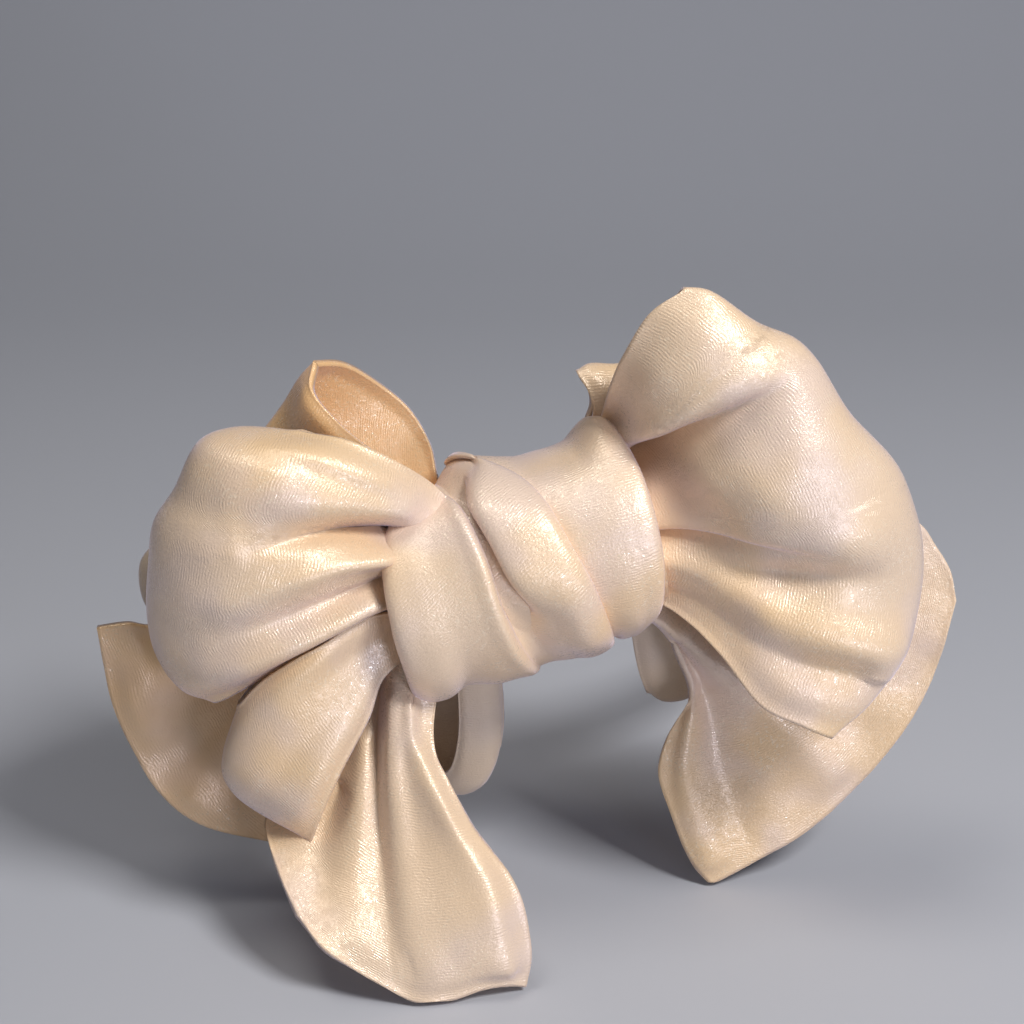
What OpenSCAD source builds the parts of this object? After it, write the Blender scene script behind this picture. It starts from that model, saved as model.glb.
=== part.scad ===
// Knotted bow headband: a satin-covered spring hoop with a layered, padded-knot bow sewn on its crown.
// Millimetres. +X is the wearer's left-to-right line of the bow, -Y its front, +Z up.
// It stands on its two front tails and on the hoop's two ends. The origin is under the middle of its box.

/* [Stance] */
// Height of the knot's middle above the table
knot_height = 79; // [66:1:95]
// Sideways place of the knot's middle
knot_x = -3.25; // [-6:0.25:6]
// Place of the knot's middle from front to back
knot_y = -46.75; // [-55:0.25:-35]

/* [Knot] */
// Length of the knot along its own axis
knot_len = 54; // [45:1:65]
// Radius of the knot at its middle
knot_r = 20.5; // [17:0.5:25]
// How much slimmer the knot is at its ends
knot_taper = 1.5; // [0.5:0.5:3]
// Thickness of the satin wraps
wrap_t = 1.6; // [1:0.2:3]
// How far the middle fold stands proud of its neighbours
fold_proud = 1.4; // [0.6:0.2:3]
// Width of the middle fold along the knot
fold_w = 15; // [10:1:20]
// Lean of the middle fold across the knot, in degrees
fold_lean = 36; // [25:1:42]
// Rise of the knot towards its right end, in degrees
knot_roll = 13; // [5:1:18]
// Turn of the knot's right end to the back, in degrees
knot_turn = 12; // [0:1:18]

/* [Gathered waist] */
// Radius of the ribbons where the thread gathers them
waist_r = 8.5; // [7:0.5:11]
// Thickness of the gathered ends that fill the knot's mouths
gather_t = 2.5; // [1.5:0.5:4]
// Radius of the binding thread
thread_r = 0.5; // [0.3:0.1:0.8]
// Number of turns of binding thread
thread_turns = 6; // [3:1:10]

/* [Hoop] */
// Radius of the crown, to the middle of the spring strip
crown_r = 62; // [56:1:68]
// Radius of each leg's gentler curve
leg_r = 140; // [120:5:170]
// Turn of the crown to each side before the leg begins, in degrees
crown_turn = 75; // [70:1:80]
// Turn of each leg, in degrees
leg_turn = 32; // [28:1:36]
// Turn at which each side of the strip flexes, in degrees
flex_turn = 35; // [33:1:42]
// Width of the spring strip
strip_w = 9; // [7:0.5:12]
// Thickness of the spring strip
strip_t = 1.6; // [1.2:0.2:2.4]
// Thickness of the padded satin sleeve
sleeve_t = 1.3; // [0.8:0.1:2]
// Width of the lining ribbon inside the hoop
lining_w = 7; // [5:0.5:9]
// Thickness of the lining ribbon
lining_t = 0.6; // [0.4:0.1:1]
// Length of the satin tab folded over each end
tab_len = 10; // [7:1:16]
// Thickness of that tab
tab_t = 0.7; // [0.5:0.1:1.2]
// Slit between crown and leg where the strip flexes
flex_gap = 0.6; // [0.4:0.1:1]

/* [Keeper] */
// Width of the keeper that sews the bow to the hoop
keeper_w = 15; // [11:1:20]
// Thickness of the keeper's satin
keeper_t = 1; // [0.7:0.1:1.6]
// Thickness of the felt pad between knot and hoop, at its middle
felt_t = 1.6; // [1:0.2:3]

/* [Bow] */
// Depth of the front loops
front_depth = 21; // [18:1:24]
// Depth of the side tail and the right tail, behind them
tail_depth = 5.5; // [4.5:0.5:7]
// Depth of the rear loops
rear_depth = 9; // [7:0.5:11]
// Room in front of a swinging tail
fore_gap = 2; // [1.5:0.5:3]
// Room behind a swinging tail
back_gap = 4.5; // [4:0.5:6]
// Gap between fabric pieces that lie beside each other
soft_gap = 0.5; // [0.4:0.1:1]

/* [Hidden] */

satin = "#E3C4A0";
satin_shade = "#D3B08A";
satin_pale = "#D8CCC2";
round_fn = 96;   // bars, rings and discs
knot_fn = 240;   // the knot, whose curve the thin felt pad fits
soft_fn = 24;    // the bulbs inside a hull

// Knot frame
knot_at = [knot_x, knot_y, knot_height];
knot_axis = [cos(knot_roll) * cos(knot_turn), cos(knot_roll) * sin(knot_turn), sin(knot_roll)];
left_mouth = knot_at - knot_axis * knot_len / 2;
right_mouth = knot_at + knot_axis * knot_len / 2;
bore_r = knot_r - wrap_t;              // inside of the wraps at the knot's middle
mouth_r = bore_r - knot_taper;         // inside of the wraps at the knot's mouths

// Hoop frame: u across, w down the legs, the strip's crown at the origin
sleeve_half_t = strip_t / 2 + sleeve_t;
sleeve_half_w = strip_w / 2 + sleeve_t;
end_r = sleeve_half_w + tab_t;             // the rounded end that stands on the table
end_half_t = sleeve_half_t + tab_t;
leg_end_turn = crown_turn + leg_turn;
leg_w = crown_r + (leg_r - crown_r) * cos(crown_turn);     // the middle of the leg's curve
tip_w = leg_w - leg_r * cos(leg_end_turn);
crown_off = knot_r + fold_proud + felt_t + sleeve_half_t; // from the knot's middle to the strip's
// The hoop leans until its rounded ends stand on the table. Their lowest point depends a little on the lean
function end_side(lean) = abs(cos(leg_end_turn) * sin(lean));
function end_reach(lean) = end_r * sqrt(1 - pow(end_side(lean), 2)) + end_half_t * end_side(lean);
function lean_for(reach) = asin((knot_height - reach) / (tip_w + crown_off));
lean = lean_for(end_reach(lean_for(end_reach(lean_for(end_r)))));
crown_at = knot_at + crown_off * [0, cos(lean), -sin(lean)];

// ---- placing ----
module in_knot() { translate(knot_at) rotate([0, -knot_roll, knot_turn]) children(); }
module in_hoop() { translate(crown_at) rotate([180 - lean, 0, 0]) children(); }
module left_side() { translate([crown_at[0], 0, 0]) mirror([1, 0, 0]) translate([-crown_at[0], 0, 0]) children(); }

// ---- knot shapes, along X about the knot's middle ----
// A barrel of radius r at its middle and r - knot_taper at the knot's ends
module barrel(r, len) {
    curve_r = (pow(knot_len / 2, 2) + pow(knot_taper, 2)) / (2 * knot_taper);
    rotate([0, 90, 0]) rotate_extrude($fn = knot_fn) intersection() {
        translate([r - curve_r, 0]) circle(curve_r, $fn = 360);
        translate([0, -len / 2]) square([r, len]);
    }
}
// The wall of the wraps, standing proud of the plain barrel
module wrap_wall(proud) {
    difference() {
        barrel(knot_r + proud, knot_len);
        barrel(bore_r, knot_len + 2);
    }
}
// The slanted slice of the knot from x0 to x1, along its middle line
module slice(x0, x1) {
    reach = 3 * knot_r;
    rotate([0, fold_lean, 0])
        translate([x0 * cos(fold_lean), -reach, -2 * reach])
            cube([(x1 - x0) * cos(fold_lean), 2 * reach, 4 * reach]);
}
module outer_wrap() { intersection() { wrap_wall(0); slice(fold_w / 2, 2 * knot_len); } }
module knot_wrap_left() {
    color(satin) in_knot() rotate([0, 180, 0]) outer_wrap();
}
module knot_wrap_right() {
    color(satin) in_knot() outer_wrap();
}
module knot_fold() {
    color(satin) in_knot() intersection() { wrap_wall(fold_proud); slice(-fold_w / 2, fold_w / 2); }
}

// ---- gathered waist ----
module gathered_waist() {
    color(satin_shade) in_knot() {
        rotate([0, 90, 0]) cylinder(h = knot_len, r = waist_r, center = true, $fn = round_fn);
        for (side = [0, 1]) mirror([side, 0, 0])
            translate([knot_len / 2 - gather_t, 0, 0]) rotate([0, 90, 0])
                cylinder(h = gather_t, r = mouth_r, $fn = round_fn);
    }
}
module binding_thread() {
    color("#EADBC6") in_knot() for (turn = [0 : thread_turns - 1])
        translate([(turn - (thread_turns - 1) / 2) * 2.1 * thread_r, 0, 0]) rotate([0, 90, 0])
            rotate_extrude($fn = round_fn) translate([waist_r + thread_r, 0]) circle(thread_r, $fn = 24);
}
module knot_padding() {
    band_half = (thread_turns + 1) * 1.05 * thread_r;
    color("#F4EFE6") in_knot() difference() {
        barrel(bore_r, knot_len - 2 * gather_t);
        rotate([0, 90, 0]) cylinder(h = knot_len, r = waist_r, center = true, $fn = round_fn);
        rotate([0, 90, 0]) cylinder(h = 2 * band_half, r = waist_r + 2 * thread_r, center = true, $fn = round_fn);
    }
}

// ---- hoop ----
// A bar's cross-section: x along the hoop's radius, y along its width
module flat_section(half_t, half_w) {
    square([2 * half_t, 2 * (half_w - half_t)], center = true);
    for (s = [-1, 1]) translate([0, s * (half_w - half_t)]) circle(half_t, $fn = 48);
}
module strip_section() { flat_section(strip_t / 2, strip_w / 2); }
module sleeve_section() {
    difference() { flat_section(sleeve_half_t, sleeve_half_w); strip_section(); }
}
module lining_section() {
    translate([-sleeve_half_t - lining_t, -lining_w / 2]) square([lining_t, lining_w]);
}
slit_turn = asin(flex_gap / crown_r);   // the slit, as a turn of the crown
tab_turn = asin(tab_len / leg_r);       // the tab, as a turn of the leg
// A section swept round the crown, which reaches as far to each side
module crown_arc(half_turn) {
    translate([0, -crown_r, 0]) rotate([0, 0, 90 - half_turn])
        rotate_extrude(angle = 2 * half_turn, $fn = 180) translate([crown_r, 0]) children();
}
module crown_part() { in_hoop() crown_arc(flex_turn - slit_turn / 2) children(); }
// Where the crown's curve ends and the right leg's gentler one begins, from the crown's own centre
module at_leg() { in_hoop() translate([0, -crown_r, 0]) rotate([0, 0, 90 - crown_turn]) children(); }
module leg_centre() { at_leg() translate([crown_r - leg_r, 0, 0]) children(); }
// A section swept along the right leg, from the slit to a turn of its gentler curve
module leg_part(turn) {
    at_leg() rotate_extrude(angle = crown_turn - flex_turn - slit_turn / 2, $fn = 180)
        translate([crown_r, 0]) children();
    leg_centre() rotate_extrude(angle = -turn, $fn = 180) translate([leg_r, 0]) children();
}
// The last stretch of the right leg, and its flat rounded end
module leg_last(turn) {
    leg_centre() rotate([0, 0, -leg_turn])
        rotate_extrude(angle = turn, $fn = 180) translate([leg_r, 0]) children();
}
module round_end(half_t, r) {
    leg_centre() rotate([0, 0, -leg_turn]) translate([leg_r - half_t, 0, 0])
        rotate([0, 90, 0]) cylinder(h = 2 * half_t, r = r, $fn = round_fn);
}

module crown_strip() { color("#C9CCD0") crown_part() strip_section(); }
module crown_sleeve() { color(satin) crown_part() sleeve_section(); }
module crown_lining() { color("#BFA184") crown_part() lining_section(); }

module leg_strip() { color("#C9CCD0") leg_part(leg_turn) strip_section(); }
module leg_sleeve() { color(satin) leg_part(leg_turn) sleeve_section(); }
module leg_lining() { color("#BFA184") leg_part(leg_turn - tab_turn) lining_section(); }
module end_tab() {
    color(satin_shade) difference() {
        union() {
            leg_last(tab_turn) flat_section(end_half_t, end_r);
            round_end(end_half_t, end_r);
        }
        leg_last(tab_turn + 1) flat_section(sleeve_half_t, sleeve_half_w);
    }
}
module right_leg_strip() { leg_strip(); }
module right_leg_sleeve() { leg_sleeve(); }
module right_leg_lining() { leg_lining(); }
module right_end_tab() { end_tab(); }
module left_leg_strip() { left_side() leg_strip(); }
module left_leg_sleeve() { left_side() leg_sleeve(); }
module left_leg_lining() { left_side() leg_lining(); }
module left_end_tab() { left_side() end_tab(); }

// ---- keeper and felt pad, between knot and hoop ----
// A block round the hoop's crown that reaches out into the knot
module crown_block(grow, inner) {
    in_hoop() translate([-keeper_w / 2, -inner, -sleeve_half_w - grow])
        cube([keeper_w, inner + crown_off, 2 * (sleeve_half_w + grow)]);
}
crown_sag = crown_r - sqrt(pow(crown_r, 2) - pow(keeper_w / 2, 2));   // the crown's curve under the keeper
strap_in = sleeve_half_t + lining_t + crown_sag;
module knot_space() { in_knot() barrel(knot_r + fold_proud, knot_len); }
module felt_pad() {
    color("#EFE6DA") difference() {
        crown_block(0, 0);
        in_hoop() translate([0, -crown_r, 0])
            cylinder(h = 4 * sleeve_half_w, r = crown_r + sleeve_half_t, center = true, $fn = 360);
        in_knot() rotate([0, 90, 0])
            cylinder(h = knot_len, r = knot_r + fold_proud, center = true, $fn = knot_fn);
    }
}
module keeper_strap() {
    color(satin_shade) difference() {
        crown_block(keeper_t, strap_in + keeper_t);
        crown_block(0, strap_in);
        knot_space();
    }
}

// ---- bow ----
// Layers of fabric behind each other, as depths from a mouth's middle
front_layer = [1 - front_depth, 1];
tail_layer = [front_layer[1] + fore_gap, front_layer[1] + fore_gap + tail_depth];
rear_layer = [tail_layer[1] + back_gap, tail_layer[1] + back_gap + rear_depth];

// A soft piece: a hull of bulbs [across, up, radius] in one layer, placed from a mouth of the knot
module bulbs(mouth, layer, list) {
    middle = (layer[0] + layer[1]) / 2;
    translate(mouth + [0, middle, 0]) intersection() {
        hull() for (b = list) translate([b[0], 0, b[1]]) sphere(b[2], $fn = soft_fn);
        cube([400, layer[1] - layer[0], 400], center = true);
    }
}
// Everything above or below a slanted plane through a mouth, which falls to the left by a turn
module above(mouth, turn) {
    translate(mouth) rotate([0, -turn, 0]) translate([-200, -200, -soft_gap]) cube(400);
}
module below(mouth, turn) {
    translate(mouth) rotate([0, -turn, 0]) translate([-200, -200, -400]) cube(400);
}
// The knot with the room that fabric leaves round it
module knot_room(gap) { in_knot() barrel(knot_r + fold_proud + gap, knot_len + 2 * gap); }
// The hoop's crown and legs with room round them
module hoop_room(gap) {
    in_hoop() crown_arc(crown_turn)
        square([2 * (sleeve_half_t + lining_t + gap), 2 * (sleeve_half_w + gap)], center = true);
}
// How steeply the small loop's upper edge and its right seam fall to the left
small_turn = 28;
seam_turn = 72;
small_drop = 49;   // from the mouth's middle down to the small loop's tip
// The space of the small loop: to the left of its seam and above its tip
module small_loop_room(gap) {
    intersection() {
        translate(left_mouth) rotate([0, -seam_turn, 0]) translate([-200, -200, -gap]) cube(400);
        translate([-200, -200, left_mouth[2] - small_drop - gap]) cube(400);
    }
}

module front_left_loop() {
    color(satin) difference() {
        bulbs(left_mouth, front_layer,
              [[-8, 2, 8], [-8, 27, 10.5], [-26, 28, 11], [-37, 10, 10.5], [-34, -9, 10]]);
        below(left_mouth, small_turn);
        knot_room(0);
    }
}
module small_left_loop() {
    color(satin) difference() {
        intersection() {
            bulbs(left_mouth, front_layer, [[-6, -12, 5], [-27, -29, 7], [-22, -36, 7.5], [-16.5, -43, 5]]);
            small_loop_room(0);
        }
        above(left_mouth, small_turn);
        knot_room(0);
    }
}
module front_right_loop() {
    color(satin) difference() {
        bulbs(right_mouth, front_layer,
              [[4, 8, 7], [8, 42, 11.5], [27, 31, 11], [39, 14, 11], [44.5, -4, 11.5], [42, -22, 11],
               [36, -29, 10.5], [10, -8, 7]]);
        knot_room(0);
    }
}
module side_tail_left() {
    color(satin_shade) difference() {
        bulbs(left_mouth, tail_layer, [[-8, -6, 4], [-58.5, -10, 3], [-53.5, -34, 4], [-40, -51, 4], [-28, -56, 4]]);
        knot_room(fore_gap);
    }
}
// The foot of a tail: a hull of bulbs [across, back, height above the table, radius]
module foot(mouth, list) {
    hull() for (b = list)
        translate([mouth[0] + b[0], mouth[1] + b[1], b[2]]) sphere(b[3], $fn = soft_fn);
}
module front_tail_left() {
    rise = left_mouth[2];
    color(satin) difference() {
        foot(left_mouth, [[-3, -8, rise - 23, 4], [8, -13, rise - 31, 4], [-15, -27, 20, 6], [-9, -32, 12, 6],
                          [4, -33, 4.5, 4.5], [22, -29, 4.5, 4.5], [22, -26, 17, 5], [14, -20, rise - 43, 5]]);
        small_loop_room(fore_gap);
        knot_room(fore_gap);
    }
}
module front_tail_right() {
    rise = right_mouth[2];
    color(satin) difference() {
        union() {
            bulbs(right_mouth, tail_layer,
                  [[4, -19, 4], [65, -22, 3], [60, -42, 4], [36, -68, 4], [17, 4.5 - rise, 4.5], [10, -57, 4]]);
            foot(right_mouth, [[17, -4, 4, 4], [17, 6, 4, 4], [34, 4, 14, 5], [13, 1, rise - 61, 4]]);
        }
        knot_room(fore_gap);
    }
}
module rear_upper_left_loop() {
    color(satin_shade) difference() {
        bulbs(left_mouth, rear_layer, [[-2, 10, 5], [-19, 26, 6], [-12, 37, 7], [-3, 33, 6], [2, 22, 5]]);
        knot_room(0);
    }
}
module rear_left_loop() {
    color(satin_pale) difference() {
        bulbs(left_mouth, rear_layer, [[-7, -4, 6.5], [-30, 0, 8], [-48, -5, 6.5]]);
        knot_room(0);
    }
}
module rear_lower_left_loop() {
    color(satin_pale) difference() {
        bulbs(left_mouth, rear_layer, [[3, -17, 4.5], [7, -38, 6], [11, -47, 7], [15, -40, 6]]);
        hoop_room(1);
        knot_room(0);
    }
}
module rear_upper_right_loop() {
    color(satin_shade) difference() {
        bulbs(right_mouth, rear_layer, [[3, 10, 5], [-8, 24, 5], [6, 31, 6]]);
        knot_room(0);
    }
}
module rear_lower_right_loop() {
    color(satin_pale) difference() {
        bulbs(right_mouth, rear_layer, [[4, -14, 4.5], [6.5, -40, 5], [12, -42, 6], [15, -25, 5]]);
        hoop_room(1);
        knot_room(0);
    }
}

crown_strip();
crown_sleeve();
crown_lining();
felt_pad();
keeper_strap();
gathered_waist();
binding_thread();
knot_padding();
knot_wrap_left();
knot_wrap_right();
knot_fold();
front_left_loop();
small_left_loop();
front_right_loop();
rear_upper_left_loop();
rear_left_loop();
rear_lower_left_loop();
rear_upper_right_loop();
rear_lower_right_loop();
side_tail_left();
front_tail_left();
front_tail_right();
left_leg_strip();
left_leg_sleeve();
left_leg_lining();
left_end_tab();
right_leg_strip();
right_leg_sleeve();
right_leg_lining();
right_end_tab();
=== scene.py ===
# Knotted bow headband: the satin bow, its knot and the covered hoop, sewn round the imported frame.
import bmesh
import bpy
import math
import numpy as np
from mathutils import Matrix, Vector, noise


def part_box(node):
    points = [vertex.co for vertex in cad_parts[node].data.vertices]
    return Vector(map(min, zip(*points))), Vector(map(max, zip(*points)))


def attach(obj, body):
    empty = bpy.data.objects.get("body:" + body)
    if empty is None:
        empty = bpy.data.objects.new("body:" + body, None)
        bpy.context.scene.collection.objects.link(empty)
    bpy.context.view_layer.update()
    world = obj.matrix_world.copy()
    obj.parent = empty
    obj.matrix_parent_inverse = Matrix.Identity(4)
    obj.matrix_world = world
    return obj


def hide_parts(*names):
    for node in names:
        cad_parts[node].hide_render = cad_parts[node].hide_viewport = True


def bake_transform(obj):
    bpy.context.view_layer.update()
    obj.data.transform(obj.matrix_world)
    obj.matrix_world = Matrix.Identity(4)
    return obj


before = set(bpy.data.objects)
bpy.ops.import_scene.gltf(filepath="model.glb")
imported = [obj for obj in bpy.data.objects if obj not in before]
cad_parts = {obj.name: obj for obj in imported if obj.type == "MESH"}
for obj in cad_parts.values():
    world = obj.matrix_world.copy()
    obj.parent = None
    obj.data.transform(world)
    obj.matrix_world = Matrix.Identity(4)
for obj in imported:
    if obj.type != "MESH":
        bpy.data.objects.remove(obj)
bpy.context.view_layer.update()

MM = 0.001

# ---------------------------------------------------------------- the knot's own place and lean
KNOT_ROLL = math.radians(13)
KNOT_TURN = math.radians(12)
KNOT_GIRTH = 131.4             # mm, round the satin
KNOT_LEAST_R = 19.3            # mm, so that no fold sinks into the padding
waist_low, waist_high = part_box("gathered_waist")
KNOT = (np.array(waist_low) + np.array(waist_high)) / 2
ALONG = np.array([math.cos(KNOT_ROLL) * math.cos(KNOT_TURN), math.cos(KNOT_ROLL) * math.sin(KNOT_TURN),
                  math.sin(KNOT_ROLL)])
FORE = -(np.array([0, 1, 0]) - ALONG[1] * ALONG)
FORE = FORE / np.linalg.norm(FORE)
OVER = np.cross(FORE, ALONG)
OVER = OVER if OVER[2] > 0 else -OVER


# ---------------------------------------------------------------- smooth curves and patches, mm from the knot
def through(points, count):
    """A smooth curve through a few points, as count points evenly spread along it."""
    p = np.array(points, float)
    if len(p) == 2:
        return p[0] + np.linspace(0, 1, count)[:, None] * (p[1] - p[0])
    step = np.sqrt(np.linalg.norm(np.diff(p, axis=0), axis=1)) + 1e-9
    knots = np.concatenate([[0], np.cumsum(step)])
    slopes = np.gradient(p, knots, axis=0)
    fine = np.linspace(0, knots[-1], 40 * len(p))
    i = np.clip(np.searchsorted(knots, fine, side="right") - 1, 0, len(p) - 2)
    h = (knots[i + 1] - knots[i])[:, None]
    u = ((fine - knots[i]) / h[:, 0])[:, None]
    curve = ((2 * u**3 - 3 * u**2 + 1) * p[i] + (u**3 - 2 * u**2 + u) * h * slopes[i]
             + (3 * u**2 - 2 * u**3) * p[i + 1] + (u**3 - u**2) * h * slopes[i + 1])
    run = np.concatenate([[0], np.cumsum(np.linalg.norm(np.diff(curve, axis=0), axis=1))])
    even = np.linspace(0, run[-1], count)
    return np.stack([np.interp(even, run, curve[:, k]) for k in range(curve.shape[1])], axis=1)


def patch(gather, outer, side0, side1, nt, reach):
    """A cloth patch between the gathered end, the outer edge and two side edges.

    reach is the way out from the gather, 0 to 1, for each row. Rows run across the cloth."""
    g = through(gather, nt)
    o = through(outer, nt)
    e0 = through([gather[0], *side0, outer[0]], 200)
    e1 = through([gather[-1], *side1, outer[-1]], 200)
    t = np.linspace(0, 1, nt)[:, None]
    rows = []
    for r in reach:
        a = np.array([np.interp(r, np.linspace(0, 1, 200), e0[:, k]) for k in range(3)])
        b = np.array([np.interp(r, np.linspace(0, 1, 200), e1[:, k]) for k in range(3)])
        corners = (1 - r) * ((1 - t) * g[0] + t * g[-1]) + r * ((1 - t) * o[0] + t * o[-1])
        rows.append((1 - r) * g + r * o + (1 - t) * a + t * b - corners)
    return np.array(rows)


def nearest_on(line, x, z):
    """For each place (x, z): its distance from a line, on which side, and how far along."""
    best = np.full(x.shape, 1e9)
    along = np.zeros(x.shape)
    side = np.zeros(x.shape)
    run = np.concatenate([[0], np.cumsum(np.linalg.norm(np.diff(line, axis=0), axis=1))])
    for k in range(len(line) - 1):
        a, b = line[k], line[k + 1]
        d = b - a
        length = np.hypot(*d)
        u = np.clip(((x - a[0]) * d[0] + (z - a[1]) * d[1]) / length**2, 0, 1)
        gap = np.hypot(x - a[0] - u * d[0], z - a[1] - u * d[1])
        closer = gap < best
        best = np.where(closer, gap, best)
        along = np.where(closer, (run[k] + u * length) / run[-1], along)
        side = np.where(closer, np.sign(d[0] * (z - a[1]) - d[1] * (x - a[0])), side)
    return best, side, along


def pleat(x, z, line, depth, left, right, power=1.6, start=1.0, end=0.0):
    """How deep a pleat sinks the cloth. Its line runs out from the knot in (x, z)."""
    gap, side, along = nearest_on(through(line, 24), x, z)
    width = np.where(side > 0, left, right) * (0.55 + 0.9 * along)
    return depth * np.exp(-(gap / width) ** power) * (start + (end - start) * along**1.3)


def ripple(points, size, height, seed):
    """Slow uneven waves over the cloth, in mm."""
    flat = points.reshape(-1, 3)
    wave = [noise.noise(Vector(p / size) + Vector((seed, 7.3, 2.1))) for p in flat]
    return height * np.array(wave).reshape(points.shape[:-1])


# ---------------------------------------------------------------- making cloth
def cloth_mesh(name, grid, across_mm, closed=False):
    """A grid of cloth points (rows, across, 3), in mm from the knot, as an object.

    Its UV runs in metres across and along the cloth."""
    rows, cols, _ = grid.shape
    places = KNOT + grid.reshape(-1, 3) * MM
    faces = []
    for r in range(rows - 1):
        for c in range(cols - 1 if not closed else cols):
            d = (c + 1) % cols
            faces.append((r * cols + c, r * cols + d, (r + 1) * cols + d, (r + 1) * cols + c))
    mesh = bpy.data.meshes.new(name)
    mesh.from_pydata([tuple(p) for p in places], [], faces)
    steps = np.linalg.norm(np.diff(grid, axis=0), axis=2)
    run = np.concatenate([np.zeros((1, cols)), np.cumsum(steps, axis=0)])
    u = np.linspace(0, across_mm, cols + 1)[:cols] if closed else np.linspace(0, across_mm, cols)
    layer = mesh.uv_layers.new(name="cloth")
    for poly in mesh.polygons:
        for k, loop in enumerate(poly.loop_indices):
            v = poly.vertices[k]
            r, c = divmod(v, cols)
            x = across_mm if closed and c == 0 and k in (1, 2) else u[c]
            layer.data[loop].uv = (x * MM, run[r, c] * MM)
    piece = bpy.data.objects.new(name, mesh)
    bpy.context.collection.objects.link(piece)
    mesh.polygons.foreach_set("use_smooth", [True] * len(mesh.polygons))
    return piece


def thicken(piece, thick, edge_thick=None, edge=None):
    """Give cloth its thickness, a little more along its edges where it is turned in."""
    group = None
    if edge is not None:
        group = piece.vertex_groups.new(name="body_of_cloth")
        for i, w in enumerate(edge):
            group.add([i], float(w), "REPLACE")
    bpy.ops.object.select_all(action="DESELECT")
    piece.select_set(True)
    bpy.context.view_layer.objects.active = piece
    wall = piece.modifiers.new("thickness", "SOLIDIFY")
    wall.thickness = (edge_thick or thick) * MM
    wall.offset = 0
    wall.use_even_offset = False
    wall.use_quality_normals = True
    if group:
        wall.vertex_group = group.name
        wall.thickness_vertex_group = thick / edge_thick
    bpy.ops.object.modifier_apply(modifier=wall.name)
    if group:
        piece.vertex_groups.clear()
    tidy = bmesh.new()
    tidy.from_mesh(piece.data)
    bmesh.ops.recalc_face_normals(tidy, faces=tidy.faces)
    tidy.to_mesh(piece.data)
    tidy.free()
    piece.data.polygons.foreach_set("use_smooth", [True] * len(piece.data.polygons))


def edge_weights(rows, cols, hem, ends=(False, False)):
    """1 along the cut edges of the cloth and 0 inside, fading over hem of its width."""
    c = np.linspace(0, 1, cols)[None, :].repeat(rows, 0)
    near = np.minimum(c, 1 - c) / hem
    r = np.linspace(0, 1, rows)[:, None].repeat(cols, 1)
    if ends[0]:
        near = np.minimum(near, r / hem)
    if ends[1]:
        near = np.minimum(near, (1 - r) / hem)
    return np.clip(1 - near, 0, 1).ravel()


def swell(x, z, at, size, rise):
    """A soft round hump on the cloth, or a hollow where rise is negative, seen from the front."""
    return -rise * np.exp(-(((x - at[0]) / size[0]) ** 2 + ((z - at[1]) / size[1]) ** 2))


def stand_off(t, puff):
    """How far a wall stands off, from its low side (0) to its top side (1)."""
    stand = np.interp(t, [0, 0.10, 0.5, 0.90, 1], [puff[0], (puff[0] + 2 * puff[1]) / 3, puff[1],
                                                   (puff[2] + 2 * puff[1]) / 3, puff[2]])
    return np.convolve(np.pad(stand, 4, mode="edge"), np.ones(9) / 9, mode="valid")


def loop_of_ribbon(name, gather, outer, low_side, top_side, puff, back_puff=None, pleats=(), swells=(),
                   back_low=None, back_side=None, back_gather=None, cols=72, rows=121, wave=0.7, seed=1.0,
                   thick=0.9, curl=0.0):
    """A loop: out from the knot in front, round its outer fold, and back in behind.

    puff is how far a wall stands off at its low side, its middle and its top side.
    curl rolls the low side in."""
    turn = np.linspace(0, 2 * np.pi, rows)
    reach = (1 - np.cos(turn)) / 2
    half = rows // 2
    front = patch(gather, outer, low_side, top_side, cols, reach[:half + 1])
    rear = patch(back_gather or gather, outer, back_low or low_side, back_side or top_side, cols,
                 reach[half + 1:])
    grid = np.concatenate([front, rear])
    t = np.linspace(0, 1, cols)
    lobe = (np.sin(turn) * np.sqrt(reach) / 0.77)[:, None]
    in_front = (turn <= np.pi)[:, None]
    wall = np.where(in_front, stand_off(t, puff)[None, :], stand_off(t, back_puff or puff)[None, :])
    grid[..., 1] -= lobe * wall
    x, z = grid[..., 0], grid[..., 2]
    folds = np.zeros(x.shape)
    for p in pleats:
        folds = folds + pleat(x, z, **p)
    for w in swells:
        folds = folds + swell(x, z, **w)
    near_fold = np.clip(np.abs(turn - np.pi) / 0.35, 0, 1)[:, None]
    grid[..., 1] += folds * np.where(in_front, near_fold ** 0.5, -0.5 * near_fold)
    midway = np.sin(np.pi * reach)[:, None]
    rolled = np.clip(1 - t / 0.12, 0, 1)[None, :] ** 2
    grid[..., 1] += curl * rolled * np.where(in_front, midway, 0)
    grid[..., 1] += ripple(grid, 17.0, wave, seed) * midway ** 0.5
    grid[..., 1] += ripple(grid * [1, 0.3, 1], 7.0, 0.35 * wave, seed + 3) * midway ** 0.5
    grid[..., 0] += ripple(grid, 23.0, wave, seed + 9) * reach[:, None]
    grid[..., 2] += ripple(grid, 23.0, wave, seed + 17) * reach[:, None]
    return sewn(name, grid, thick, 1.5, edge_weights(rows, cols, 0.035))


def sewn(name, grid, thick, hem_thick, edge):
    """The finished piece and its flat size in metres, the width taken where the cloth is spread out."""
    across = np.linalg.norm(np.diff(grid, axis=1), axis=2).sum(axis=1)
    width = across[len(across) // 5:-len(across) // 5].mean()
    length = np.linalg.norm(np.diff(grid, axis=0), axis=2).sum(axis=0).mean()
    piece = cloth_mesh(name, grid, width)
    thicken(piece, thick, hem_thick, edge)
    return piece, (round(width * MM, 4), round(length * MM, 4))


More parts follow.
